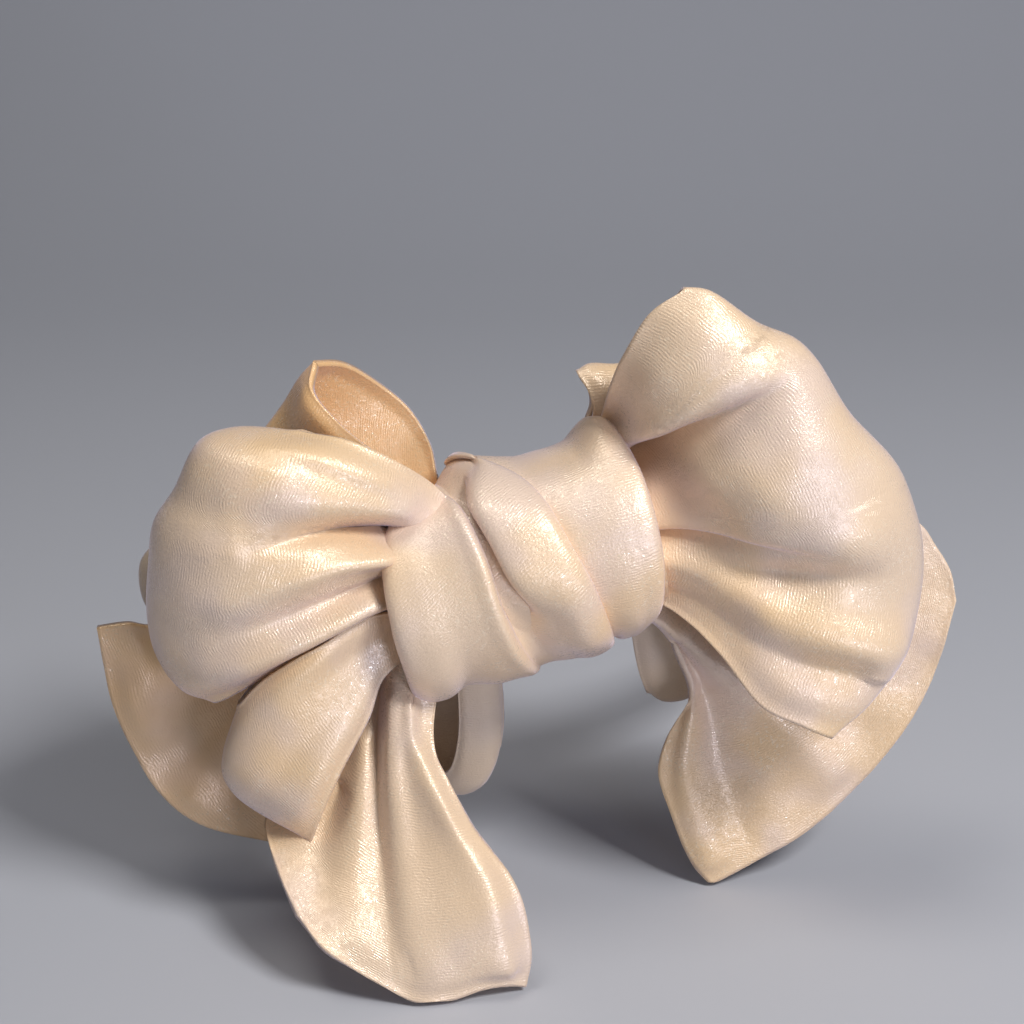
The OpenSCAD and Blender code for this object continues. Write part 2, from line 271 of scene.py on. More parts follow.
def tail_of_ribbon(name, gather, outer, side0, side1, pleats=(), swells=(), cols=90, rows=100, wave=0.6,
                   seed=1.0, thick=1.2, camber=0.0):
    """A tail or flap: one run of ribbon from the knot to its cut end."""
    reach = np.linspace(0, 1, rows)
    grid = patch(gather, outer, side0, side1, cols, reach)
    x, z = grid[..., 0], grid[..., 2]
    folds = np.zeros(x.shape)
    for p in pleats:
        folds = folds + pleat(x, z, **p)
    for w in swells:
        folds = folds + swell(x, z, **w)
    t = np.linspace(0, 1, cols)[None, :]
    ends = np.clip(np.minimum(t, 1 - t) / 0.08, 0, 1) ** 0.7
    ends = ends * np.clip((1 - reach[:, None]) / 0.06, 0.25, 1)
    grid[..., 1] += folds * ends - camber * (1 - (2 * t - 1) ** 2) * np.sin(np.pi * reach * 0.9)[:, None]
    grid[..., 1] += ripple(grid, 16.0, wave, seed) * reach[:, None] ** 0.5
    grid[..., 1] += ripple(grid, 6.5, 0.3 * wave, seed + 3) * reach[:, None] ** 0.5
    ground = (1.0 * MM - KNOT[2]) / MM
    grid[..., 2] = np.maximum(grid[..., 2], ground)
    return sewn(name, grid, thick, 1.7, edge_weights(rows, cols, 0.03, (False, True)))


# ---------------------------------------------------------------- materials
class Wire:
    """One output of a shader node. Plain arithmetic on wires adds the Math nodes."""

    def __init__(self, paint, socket):
        self.paint = paint
        self.socket = socket

    def __add__(self, other):
        return self.paint.maths("ADD", self, other)

    def __radd__(self, other):
        return self.paint.maths("ADD", other, self)

    def __sub__(self, other):
        return self.paint.maths("SUBTRACT", self, other)

    def __rsub__(self, other):
        return self.paint.maths("SUBTRACT", other, self)

    def __mul__(self, other):
        return self.paint.maths("MULTIPLY", self, other)

    def __rmul__(self, other):
        return self.paint.maths("MULTIPLY", other, self)


class Paint:
    """A procedural material, built node by node."""

    def __init__(self, name):
        self.material = bpy.data.materials.new(name)
        self.material.use_nodes = True
        self.tree = self.material.node_tree
        self.shader = self.tree.nodes["Principled BSDF"]

    def node(self, kind, settings=None, out=0, **inputs):
        """A node with its settings and inputs: _0 is an input by its place, Base_Color one by its name."""
        made = self.tree.nodes.new(kind)
        for key, value in (settings or {}).items():
            setattr(made, key, value)
        for key, value in inputs.items():
            by_place = key[0] == "_" and key[1:].isdigit()
            self.feed(made.inputs[int(key[1:]) if by_place else key.replace("_", " ")], value)
        return Wire(self, made.outputs[out])

    def feed(self, socket, value):
        if isinstance(value, Wire):
            self.tree.links.new(value.socket, socket)
        else:
            socket.default_value = value

    def maths(self, operation, a, b, clamp=False):
        return self.node("ShaderNodeMath", {"operation": operation, "use_clamp": clamp}, _0=a, _1=b)

    def sine(self, a):
        return self.node("ShaderNodeMath", {"operation": "SINE"}, _0=a)

    def between(self, a, low, high):
        """0 below low, 1 above high and smooth between."""
        return self.node("ShaderNodeMapRange", {"interpolation_type": "SMOOTHSTEP"}, Value=a,
                         From_Min=low, From_Max=high)

    def blend(self, amount, a, b):
        return self.node("ShaderNodeMix", {"data_type": "RGBA"}, out=2, _0=amount, _6=a, _7=b)

    def noise(self, vector, scale, detail=3.0, rough=0.55):
        return self.node("ShaderNodeTexNoise", Vector=vector, Scale=scale, Detail=detail, Roughness=rough)

    def set(self, **values):
        for key, value in values.items():
            self.feed(self.shader.inputs[key.replace("_", " ")], value)


def srgb(r, g, b):
    """A colour from its usual 0 to 255 values, in the linear values that shaders use."""
    def one(c):
        c = c / 255
        return c / 12.92 if c <= 0.04045 else ((c + 0.055) / 1.055) ** 2.4
    return (one(r), one(g), one(b), 1.0)


def shimmer_satin(name, base, warm, cool, rib=0.62, glint=1.0, rough=0.29):
    """Crepe-faced shimmer satin: fine wavy ribs across the ribbon, a grainy face and scattered glints:
    glossier specks whose lighter base colour is a painted glint.
    """
    p = Paint(name)
    place = p.node("ShaderNodeTexCoord", out=3)
    cloth = p.node("ShaderNodeUVMap", {"uv_map": "cloth"})
    along = p.node("ShaderNodeSeparateXYZ", out=1, Vector=cloth)
    sway = p.noise(place, 260.0, 2.0)
    slow = p.noise(place, 42.0, 2.0)
    grain = p.noise(place, 1900.0, 2.0, 0.65)
    speck = p.noise(place, 1500.0, 1.0, 0.4)
    drift = p.noise(place, 15.0, 2.0)
    crush = p.between(p.noise(place, 620.0, 2.0), 0.34, 0.66)
    patchy = p.between(p.noise(place, 70.0, 2.0), 0.38, 0.62)
    ribs = p.sine(along * (2 * math.pi / (rib * MM)) + sway * 13.0 + slow * 20.0)
    face = ribs * (0.04 + 0.34 * crush) + grain * 1.9
    bump = p.node("ShaderNodeBump", Strength=0.5, Distance=0.00013, Height=face)
    tone = p.blend(p.between(drift, 0.36, 0.66), base, warm)
    tone = p.blend(p.between(slow, 0.44, 0.70) * 0.5, tone, cool)
    gloss_and_painted_glint = p.between(speck, 0.57, 0.68) * patchy
    # The specks are glossier and also lighten the base colour towards pale cream: a painted glint.
    p.set(Base_Color=p.blend(gloss_and_painted_glint * 0.35 * glint, tone, srgb(255, 238, 210)),
          Roughness=p.maths("SUBTRACT", rough + 0.12 * grain - 0.06 * ribs * crush, gloss_and_painted_glint * 0.20 * glint,
                            clamp=True),
          Normal=bump, Coat_Weight=0.02 + gloss_and_painted_glint * 0.35 * glint)
    p.set(Sheen_Weight=0.6, Sheen_Roughness=0.4, Sheen_Tint=srgb(232, 224, 255), Metallic=0.08,
          Specular_IOR_Level=1.0, Coat_Roughness=0.16)
    return p.material


def plain_material(name, colour, rough, metallic=0.0, grain=900.0, bump=0.2, shade=0.8):
    """A finely grained material without ribs: steel, felt, wadding or thread."""
    p = Paint(name)
    place = p.node("ShaderNodeTexCoord", out=3)
    fine = p.noise(place, grain, 3.0)
    dark = tuple(c * shade for c in colour[:3]) + (1.0,)
    p.set(Base_Color=p.blend(p.between(fine, 0.3, 0.7), dark, colour), Roughness=rough + 0.12 * fine,
          Normal=p.node("ShaderNodeBump", Strength=bump, Distance=0.0002, Height=fine), Metallic=metallic)
    return p.material


satin = shimmer_satin("champagne_satin", srgb(231, 205, 176), srgb(233, 199, 154), srgb(222, 204, 200))
# A darker, greyer and duller copy of the satin for the rear loops behind the bow: painted shade.
satin_with_painted_shade = shimmer_satin("satin_painted_shade_cool", srgb(218, 198, 176), srgb(220, 194, 160), srgb(208, 194, 188),
                           glint=0.2, rough=0.5)
# A warmer, slightly darker copy of the satin for the upper-left ring and the side tail, which lie in shade:
# painted warm shade.
satin_painted_warm_shade = shimmer_satin("satin_painted_warm_shade", srgb(226, 190, 146), srgb(230, 186, 132), srgb(218, 190, 168))
hoop_satin = shimmer_satin("sleeve_satin", srgb(220, 184, 144), srgb(226, 184, 136), srgb(206, 180, 164),
                           rib=0.5)
steel = plain_material("spring_steel", (0.55, 0.56, 0.58, 1), 0.3, 1.0, 2600, 0.1)
wadding = plain_material("wadding", (0.86, 0.83, 0.78, 1), 0.9, 0.0, 500, 0.6)
felt = plain_material("pressed_felt", srgb(226, 208, 180), 0.9, 0.0, 1400, 0.6)
thread = plain_material("binding_thread", srgb(232, 214, 184), 0.5, 0.0, 3000, 0.4)
lining = shimmer_satin("lining_ribbon", srgb(196, 158, 118), srgb(200, 158, 110), srgb(184, 156, 132),
                       rib=0.4, glint=0.1, rough=0.5)


def wear(piece, material):
    """Put one material on a piece."""
    piece.data.materials.clear()
    piece.data.materials.append(material)


# ---------------------------------------------------------------- the knot
def soften(line):
    """Round off the corners in a line of values."""
    kernel = np.hanning(9)
    return np.convolve(np.pad(line, 4, mode="edge"), kernel / kernel.sum(), mode="valid")


def round_knot(marks, angle):
    """A value that changes round the knot, given at a few angles, smoothly and without a step."""
    order = sorted(marks)
    a = np.array([m[0] for m in order], float)
    v = np.array([m[1] for m in order], float)
    a = np.concatenate([a - 360, a, a + 360])
    v = np.concatenate([v, v, v])
    fine = np.arange(-360, 720, 3.0)
    return np.interp(np.mod(angle + 180, 360) - 180, fine, soften(np.interp(fine, a, v)))


# The knot's radius in mm along its length, at its top, front, bottom and back
BODY = {111: [(-30, 20), (-12.3, 19.5), (-9.5, 22.2), (-6.5, 24.0), (-3.9, 24.1), (0.7, 22.3), (5.5, 20.6),
              (12.8, 20.3), (16.8, 20.8), (19, 22.4), (21.8, 23.9), (25.4, 23.0), (28, 21)],
        20: [(-30, 20.6), (-20, 21.6), (-10, 22.3), (0, 22.4), (12, 21.8), (20, 21.9), (28, 20.8)],
        -68: [(-30, 20.4), (-24.5, 22.6), (-21.5, 22.8), (-17.5, 21.2), (-14.4, 22.0), (-11, 23.0),
              (-3, 23.2), (4, 23.2), (8, 23.0), (14, 22.2), (18.7, 22.2), (21.6, 21.0), (28, 20)],
        -155: [(-30, 19.6), (-14, 20.3), (14, 20.3), (28, 19.8)]}


def knot_radius(x, angle):
    """The wrapped knot's radius at each place along it and each angle round it."""
    total = np.zeros(x.shape)
    shares = np.zeros(x.shape)
    stations = np.linspace(-34, 34, 137)
    for place, marks in BODY.items():
        away = np.abs(np.mod(angle - place + 180, 360) - 180)
        share = np.exp(-(away / 34.0) ** 2) + 1e-6
        profile = soften(np.interp(stations, [m[0] for m in marks], [m[1] for m in marks]))
        total = total + share * np.interp(x, stations, profile)
        shares = shares + share
    return total / shares


# Where each edge of the wraps lies along the knot in mm, at angles from its front up over its top
FOLD_LEFT = [(120, -13), (95, -12), (78, -11), (57, -7.9), (39, -6.2), (18, -4.8), (3, -4.0), (-12, -2.5),
             (-30, -1.5), (-63, 1.5), (-100, 0), (-150, -5), (170, -10)]
FOLD_RIGHT = [(120, -7), (100, -5.5), (93, -4.0), (80, 0.5), (69, 3.8), (48, 6.6), (24, 8.4), (0, 10.8),
              (-30, 12.6), (-63, 14.0), (-100, 13), (-150, 8), (170, -1)]
RIDGE = [(120, -14.5), (95, -13), (78, -11.8), (57, -9.6), (45, -9.0), (27, -8.2), (0, -8.0), (-24, -6.6),
         (-45, -4.4), (-63, -2.4), (-100, -3), (-150, -7), (170, -12)]
LEFT_RIM = [(24, -28.6), (-3, -29.3), (-60, -28.4), (-110, -26.5), (180, -24), (130, -21), (100, -19.5),
            (88, -20), (76, -21.8), (62, -25), (45, -27.3)]
RIGHT_RIM = [(111, 25.6), (93, 26.2), (51, 27), (18, 26.6), (-6, 26), (-40, 24.4), (-63, 21.6), (-96, 21),
             (-150, 24), (170, 25)]
# How open the deep pleat is, and how far its floor lies below
OPEN = [(-150, 0), (-30, 0), (-12, 0.0), (0, 0.55), (14, 1), (56, 1), (72, 0.4), (82, 0), (150, 0)]
FLOOR = [(-150, 0.8), (-100, 0.8), (-68, 1.1), (-45, 2.0), (-25, 3.4), (0, 5.0), (20, 5.2), (45, 4.6),
         (62, 3.6), (80, 2.2), (100, 0.9), (150, 0.6)]


def knot_sheet(name, sections, skew, seed, cols=170):
    """A wrap of the knot, from its cross-section at every angle.

    sections gives [(place along the knot, height over its body), ...]. skew leans the cloth's ribs."""
    angle = np.linspace(-180, 180, cols, endpoint=False)
    keys = np.array(sections(angle))
    line = np.array([through_keys(keys[:, :, c], 8) for c in range(cols)]).transpose(1, 0, 2)
    x, height = line[..., 0], line[..., 1]
    all_round = angle[None, :].repeat(len(x), 0)
    radius = np.maximum(knot_radius(x, all_round) + height, KNOT_LEAST_R)
    a = np.radians(all_round)
    out = np.cos(a)[..., None] * FORE + np.sin(a)[..., None] * OVER
    grid = x[..., None] * ALONG + radius[..., None] * out
    grid = grid + ripple(grid, 10.0, 0.4, seed)[..., None] * out
    piece = cloth_mesh(name, grid, KNOT_GIRTH, closed=True)
    layer = piece.data.uv_layers["cloth"].data
    for poly in piece.data.polygons:
        for k, loop in enumerate(poly.loop_indices):
            r, c = divmod(piece.data.loops[loop].vertex_index, cols)
            share = 1.0 if c == 0 and k in (1, 2) else c / cols
            layer[loop].uv = (x[r, c] * MM, (share * KNOT_GIRTH - skew * x[r, c]) * MM)
    length = np.linalg.norm(np.diff(grid, axis=0), axis=2).sum(axis=0).mean()
    thicken(piece, 0.8)
    return piece, (round(length * MM, 4), round(KNOT_GIRTH * MM, 4))


def through_keys(keys, steps):
    """A smooth curve through the keys with the same number of steps between each two."""
    gap = np.sqrt(np.linalg.norm(np.diff(keys, axis=0), axis=1)) + 1e-3
    at = np.concatenate([[0], np.cumsum(gap)])
    slope = np.gradient(keys, at, axis=0)
    u = np.linspace(0, 1, steps, endpoint=False)[:, None]
    runs = []
    for i in range(len(keys) - 1):
        h = gap[i]
        runs.append((2 * u**3 - 3 * u**2 + 1) * keys[i] + (u**3 - 2 * u**2 + u) * h * slope[i]
                    + (3 * u**2 - 2 * u**3) * keys[i + 1] + (u**3 - u**2) * h * slope[i + 1])
    return np.concatenate(runs + [keys[-1:]])


def pleated_wrap(angle):
    """The left turn and the proud fold, one cloth with the deep pleat between ridge and fold."""
    rim = round_knot(LEFT_RIM, angle)
    ridge = round_knot(RIDGE, angle)
    left = round_knot(FOLD_LEFT, angle)
    right = round_knot(FOLD_RIGHT, angle)
    o = round_knot(OPEN, angle)
    v = round_knot(FLOOR, angle)

    def mix(a, b):
        """a where the pleat is open and b where it is shut."""
        return o * a + (1 - o) * b

    front = np.exp(-(((angle - 15) / 60) ** 2))
    hem = np.clip((ridge - rim) / 14, 0.2, 1)
    return [(rim + 3.2 * hem, -3.4 + 0 * v), (rim + 0.9 * hem, -2.6 + 0 * v), (rim, -1.3 + 0 * v),
            (rim + 1.0 * hem, -0.15 + 0 * v), (rim + 0.25 * (ridge - rim), 0.1 + 0 * v),
            (rim + 0.55 * (ridge - rim), -0.2 * front), (rim + 0.8 * (ridge - rim), 0.3 * front),
            (ridge - 0.9, 0.9 * front + 0.1),
            (ridge + 0.1, -0.2 * v + 0.3 * front), (ridge + 0.6, -0.75 * v),
            (mix(left + 0.3, ridge + 2.6), -v), (mix(left + 3.2, ridge + 4.0), mix(-v + 0.2, -0.95 * v)),
            (mix(left + 2.6, ridge + 5.4), mix(-2.1, -0.72 * v)),
            (mix(left + 0.3, ridge + 6.6), mix(-1.0, -0.5 * v)),
            (mix(left - 0.2, ridge + 7.6), mix(0.3, -0.33 * v)),
            (mix(left + 0.9, ridge + 8.8), mix(1.5, -0.16 * v)),
            (0.5 * (mix(left + 2, ridge + 8.8) + right - 1), 1.7 * front + 0.5),
            (right - 1.5, 1.3 * front + 0.5), (right - 0.1, 0.5 * front + 0.1), (right - 0.3, -0.9 + 0 * v),
            (right - 2.4, -1.6 + 0 * v)]


def right_wrap(angle):
    """The right turn, from under the fold to its flared collar."""
    start = round_knot(FOLD_RIGHT, angle) - 3.0
    rim = round_knot(RIGHT_RIM, angle)
    collar = np.exp(-(((angle - 95) / 40) ** 2))
    flat = 0 * rim
    return [(start, -2.6 + flat), (start + 2.4, -1.7 + flat), (start + 5.0, -1.0 + flat),
            (start + 0.5 * (rim - start), -0.35 + flat), (start + 0.72 * (rim - start), -0.15 + flat),
            (rim - 2.4, 0.1 + flat), (rim - 0.7, -0.1 + flat), (rim, -1.3 - 0.4 * collar),
            (rim - 0.8, -2.7 + flat), (rim - 3.0, -3.6 + flat)]


wrap_left, wrap_left_flat = knot_sheet("knot_pleated_wrap", pleated_wrap, skew=0.45, seed=3.0)
wrap_right, wrap_right_flat = knot_sheet("knot_right_wrap", right_wrap, skew=0.05, seed=8.0)

# ---------------------------------------------------------------- the front loops
front_left, front_left_flat = loop_of_ribbon(
    "front_left_loop_cloth",
    gather=[(-20, -11, -5), (-17, -13, 4), (-11, -9, 13)],
    low_side=[(-27.4, -16, -3.4), (-35.3, -18, -7.1), (-45.3, -19, -12.6), (-55.8, -18, -19.4)],
    outer=[(-61.4, -17, -23.1), (-67.5, -16, -20.9), (-72.3, -15, -13.5), (-73.7, -15, -4.6), (-73, -15, 6.4),
           (-71.4, -15, 15), (-67.1, -15, 21.3), (-61.5, -15, 31.2), (-56.8, -14, 33), (-49, -14, 33.4),
           (-42.2, -14, 33)],
    top_side=[(-16, -9, 19.2), (-23, -12, 26), (-32.5, -14, 31.4)],
    back_side=[(-14, -4, 12), (-22, -5, 19), (-32, -7, 25)],
    puff=(5, 11.5, 0.5), back_puff=(3, 7, 2), curl=6.0,
    pleats=[dict(line=[(-24, 11.2), (-30.2, 13.4), (-36, 14.6), (-44, 14.6), (-54, 13.5)], depth=9.0,
                 left=1.5, right=4.2, power=1.4, end=-0.05),
            dict(line=[(-25, 9.0), (-32, 9.4), (-38, 8.6), (-46, 6.2), (-56, 2)], depth=-3.4, left=3.2,
                 right=2.4, power=2, end=0.15),
            dict(line=[(-22, 18), (-34, 21), (-44, 22), (-58, 21)], depth=-2.0, left=4, right=4, power=2),
            dict(line=[(-26, 3.5), (-40, 0.5), (-56, -4)], depth=3.4, left=2.6, right=2.6, power=1.8,
                 end=0.1),
            dict(line=[(-26, -1), (-36, -4), (-46, -8.5), (-60, -14)], depth=-2.6, left=3.5, right=3.5,
                 power=2, end=0.5)],
    swells=[dict(at=(-60, 6), size=(10, 14), rise=1.5), dict(at=(-52, 26), size=(12, 5), rise=1.2)],
    seed=2.0, wave=0.9, cols=110, rows=141)
front_right, front_right_flat = loop_of_ribbon(
    "front_right_loop_cloth",
    gather=[(20, -4, -8), (20, -6, 6), (14, 5, 15)],
    low_side=[(28.5, -4, -7.4), (35.5, -8, -10.1), (41.4, -12.5, -14.7), (49.5, -16.5, -24.1),
              (57.6, -18.5, -27.6)],
    outer=[(63.8, -19, -30.8), (72.3, -15, -24.8), (79.7, -10, -15.9), (82.4, -6, -6.5), (82, -6, 3.6),
           (79.7, -6, 13.5), (75.5, -6, 23.2), (65.9, -6, 33.7), (58.3, -6, 45.1), (54.2, -6, 49.2),
           (47.2, -6, 52.2), (37.2, -6, 58.9), (32.4, -6, 59.3)],
    top_side=[(17.8, 10, 27.7), (18.7, 2, 37.3), (21.2, -3, 46.2), (25.8, -5.5, 55.1)],
    back_low=[(30, 0, -9), (42, -2, -14), (54, -7, -23)],
    back_side=[(21, 14, 24), (23, 9, 36), (27, 3, 48)],
    puff=(2.5, 12.5, 0.5), back_puff=(3, 8, 2),
    pleats=[dict(line=[(22.5, 21.5), (28.8, 28.2), (33.3, 31.9), (42.6, 37.9), (53, 44)], depth=10.0,
                 left=1.3, right=5.6, power=1.35, end=0.0),
            dict(line=[(22, 26.5), (29.4, 34), (34.8, 39.2), (42.2, 44.6), (52, 49.3)], depth=-3.8,
                 left=3.2, right=2.8, power=2, end=0.0),
            dict(line=[(24, 8), (34.2, 9.4), (40, 9.6), (49.8, 9.4), (66, 8.4)], depth=4.6, left=0.9,
                 right=3.4, power=1.4, end=0.0),
            dict(line=[(26, 3), (36.3, 2.2), (44.2, -1), (56.3, -5.5), (68.6, -9.6), (78, -12)], depth=-4.0,
                 left=4, right=4, power=2, start=0.5, end=0.7),
            dict(line=[(28, -3), (38, -6), (47, -11), (56, -15), (68, -18)], depth=3.8, left=3, right=4.5,
                 power=2, start=0.5, end=0.9)],
    swells=[dict(at=(68, 12), size=(10, 8), rise=3.0), dict(at=(56, 3.5), size=(12, 3.6), rise=-3.2),
            dict(at=(44, 22), size=(12, 7), rise=2.2), dict(at=(58, 30), size=(9, 7), rise=1.6),
            dict(at=(24, 44), size=(5, 9), rise=1.0)],
    seed=4.0, wave=1.0, cols=130, rows=161)
small_left, small_left_flat = loop_of_ribbon(
    "small_left_loop_cloth",
    gather=[(-21, -13, -14), (-21, -14, -5)],
    low_side=[(-27.4, -16, -18.4), (-30.2, -18, -25.7), (-33.2, -20.5, -31), (-36.5, -23, -37),
              (-39.3, -24, -43.5)],
    outer=[(-42.2, -23.5, -53), (-46.8, -22, -50.6), (-50.7, -21, -48.6), (-54.7, -20, -46.3),
           (-57.8, -20, -43.3), (-60, -20, -38.8), (-59.6, -20, -33.9), (-57.5, -20, -27.7),
           (-55.8, -20, -23.4)],
    top_side=[(-28, -17, -3.9), (-32.5, -19, -4.8), (-37.8, -21, -7.9), (-43.3, -21, -11.2),
              (-50.5, -20, -17)],
    back_low=[(-27, -12, -19), (-30.5, -13, -27.5), (-33.5, -14, -34.5), (-35.4, -17, -43),
              (-37, -21, -49.5)],
    puff=(0.5, 5.5, 2.5), back_puff=(1, 3, 2),
    pleats=[dict(line=[(-24, -12), (-34, -26), (-44, -42)], depth=-1.6, left=5, right=5, power=2, start=0.6,
                 end=0.9),
            dict(line=[(-24, -7), (-38, -16), (-50, -28)], depth=0.9, left=4, right=3, power=2)],
    swells=[dict(at=(-52, -38), size=(7, 7), rise=1.2)],
    seed=6.0, wave=0.45, cols=60, rows=111)

# ---------------------------------------------------------------- the tails
left_tail, left_tail_flat = tail_of_ribbon(
    "front_left_tail_cloth",
    gather=[(-26, -9, -10), (-21, -13, -12), (-15, -10, -13)],
    side0=[(-30, -9, -22), (-37, -9, -36), (-46, -12, -46), (-52.1, -18, -51.3), (-50.9, -24, -54.1),
           (-47.9, -31, -57.4)],
    outer=[(-44.3, -37, -61.7), (-39.7, -41, -66.1), (-33.8, -42, -70.5), (-27.4, -43, -74.3),
           (-22, -43, -77.5), (-17.2, -43, -78.4), (-12.9, -42, -78), (-8.1, -41, -76.8),
           (-3.7, -40, -76.4), (-1, -39, -77), (1.6, -38, -78.4)],
    side1=[(-16.8, -15, -24.5), (-17.4, -18, -30.4), (-16.8, -21, -34.8), (-14.6, -24, -38),
           (-12.4, -26, -41.8), (-9.1, -28, -47.4), (-5.3, -30, -51.8), (-1.5, -32, -56.2),
           (0.9, -34, -60.6), (2.2, -36, -67), (2.6, -37.5, -71.7)],
    pleats=[dict(line=[(-27.5, -20), (-28.4, -31.7), (-28.2, -41.1), (-28.1, -48.1), (-27.2, -56),
                       (-25.4, -66)], depth=4.4, left=1.8, right=3.0, power=1.6, end=0.15),
            dict(line=[(-31.5, -34), (-32.8, -46.1), (-33.2, -53), (-35.2, -62)], depth=-2.8, left=3,
                 right=3.4, power=2, start=0.6, end=0.3),
            dict(line=[(-25.4, -24), (-25.6, -38), (-24.8, -48), (-23.6, -56), (-21.6, -66)], depth=-2.2,
                 left=3.4, right=2.2, power=2, end=0.4),
            dict(line=[(-21.5, -25.1), (-21.2, -30.3), (-19, -34.5), (-15.9, -39.6), (-12.2, -44.6),
                       (-9, -48.4), (-6.6, -52.7), (-4.6, -57.8), (-3, -64.7), (-1.2, -72)], depth=-3.2,
                 left=1.7, right=4.4, power=1.7, start=0.9, end=0.8),
            dict(line=[(-36, -44), (-40, -54), (-41, -62)], depth=2.0, left=3, right=3, power=2, end=0.5)],
    swells=[dict(at=(-14, -62), size=(9, 12), rise=2.5)],
    camber=2.5, seed=11.0, wave=0.8)
right_tail, right_tail_flat = tail_of_ribbon(
    "front_right_tail_cloth",
    gather=[(21, 3, -10), (24, 5, -6), (26, 8, -2)],
    side0=[(26.3, 2, -12.9), (31.5, 4, -18), (35.1, 6, -26.1), (37.6, 6, -33.3), (36.8, 6, -37.4),
           (32.9, 5, -43.7), (30.9, 4, -51.8), (33.7, 3, -61.3), (38.4, 1, -72.4)],
    outer=[(42.9, 0.5, -78.6), (51.8, 2, -73.9), (65.1, 5, -66.3), (75.8, 7, -56), (84.2, 9, -44.7),
           (90.1, 10, -32.9), (94.4, 11, -14.2)],
    side1=[(45, 12, 2), (65, 13, 5), (84, 13, 4), (89.3, 13, -2.2), (92.7, 12, -7.6)],
    pleats=[dict(line=[(28, -13), (39.5, -24), (49, -32), (57, -41), (68, -52)], depth=-3.6, left=4, right=4,
                 power=2, start=0.9, end=0.4),
            dict(line=[(38, -36), (36.6, -44), (35.8, -52), (37.4, -62), (41.5, -74)], depth=-2.6, left=3.2,
                 right=1.4, power=1.6, start=0.5, end=1.0),
            dict(line=[(34, -22), (41, -36), (44, -48), (48, -62)], depth=2.8, left=4, right=3, power=2,
                 start=1.0, end=0.4),
            dict(line=[(34, -12), (52, -25), (68, -38), (80, -46)], depth=2.2, left=4, right=4, power=2,
                 start=0.6, end=0.3)],
    camber=2, seed=14.0, wave=0.9)
side_tail, side_tail_flat = tail_of_ribbon(
    "side_left_tail_cloth",
    gather=[(-18, 0, -3), (-20, 0, -12)],
    side0=[(-40, -1, -6), (-60, -1, -11), (-76.8, -1, -14.5), (-80.7, -2, -13.3)],
    outer=[(-87.4, -3, -14), (-85.8, -3, -28.7), (-82.5, -3, -40.6), (-76.7, -4, -52.2), (-68.3, -5, -59.1),
           (-53.8, -5, -63.9)],
    side1=[(-30, 1, -30), (-40, -1, -50)],
    pleats=[dict(line=[(-40, -12), (-56, -26), (-66, -44)], depth=5.5, left=6, right=7, power=2, start=0.8,
                 end=0.3),
            dict(line=[(-60, -12), (-76, -24), (-84, -34)], depth=-2.6, left=5, right=5, power=2, start=0.5,
                 end=0.8),
            dict(line=[(-56, -34), (-66, -48), (-72, -56)], depth=-2.2, left=4, right=4, power=2, start=0.5,
                 end=0.8)],
    camber=2, seed=17.0, wave=0.9)

# ---------------------------------------------------------------- the rear loops
upper_left, upper_left_flat = loop_of_ribbon(
    "rear_upper_left_loop_cloth",
    gather=[(-20, 8, 4), (-15, 6, 12)],
    back_gather=[(-18, 14, 4), (-14, 14, 8)],
    low_side=[(-32, 8, 11), (-44, 8, 18)],
    outer=[(-52.5, 8, 24.5), (-47.6, 8, 31), (-43.6, 6.5, 37.4), (-40.6, 6, 40.6)],
    top_side=[(-22, 3.5, 18), (-30.6, 1, 24.9), (-36.6, 0, 31), (-41, 1.5, 36.6)],
    back_side=[(-16.6, 14, 12.2), (-18.3, 16, 19.4), (-22.4, 17, 26.8), (-28.5, 16, 32.7),
               (-35.3, 11.5, 38.4)],
    puff=(2, 3, 0), back_puff=(2, 3, 0), seed=21.0, wave=0.3, cols=48, rows=111, thick=1.3)
upper_right, upper_right_flat = loop_of_ribbon(
    "rear_upper_right_loop_cloth",
    gather=[(14, 14, 14), (20, 16, 14)],
    low_side=[(14.5, 18.5, 22), (16, 18, 27), (15, 18, 31.5)],
    outer=[(12.6, 18, 34.6), (15, 19, 35.9), (21, 21, 35.4), (30, 22, 37), (38, 22, 36)],
    top_side=[(28, 20, 22), (36, 22, 30)],
    puff=(3, 5, 3), back_puff=(2, 4, 2), seed=23.0, wave=0.4, cols=48, rows=81)
rear_left, rear_left_flat = loop_of_ribbon(
    "rear_left_loop_cloth",
    gather=[(-22, 9, -9), (-22, 9, 2)],
    low_side=[(-45, 11, -17), (-65, 12, -20)],
    outer=[(-75, 12, -20), (-80, 12, -15), (-80.5, 12, -6), (-76, 12, 0)],
    top_side=[(-45, 12, 5), (-62, 12, 4)],
    puff=(3, 5, 3), back_puff=(3, 5, 3),
    pleats=[dict(line=[(-24, -3), (-45, -5), (-66, -7)], depth=2.0, left=4, right=4, power=2)],
    seed=25.0, wave=0.8, cols=48, rows=101)
lower_right, lower_right_flat = loop_of_ribbon(
    "rear_lower_right_loop_cloth",
    gather=[(24, 17, -4), (33, 17, -2)],
    low_side=[(24.5, 19, -16), (26, 20, -28), (27.4, 20, -34.2)],
    outer=[(29.6, 20, -40.3), (33.3, 20, -42.6), (38.9, 20, -41.4), (43, 20, -36)],
    top_side=[(38, 18, -10), (42, 19, -22)],
    puff=(3, 4.5, 3), back_puff=(2, 4, 2), seed=27.0, wave=0.35, cols=48, rows=91)
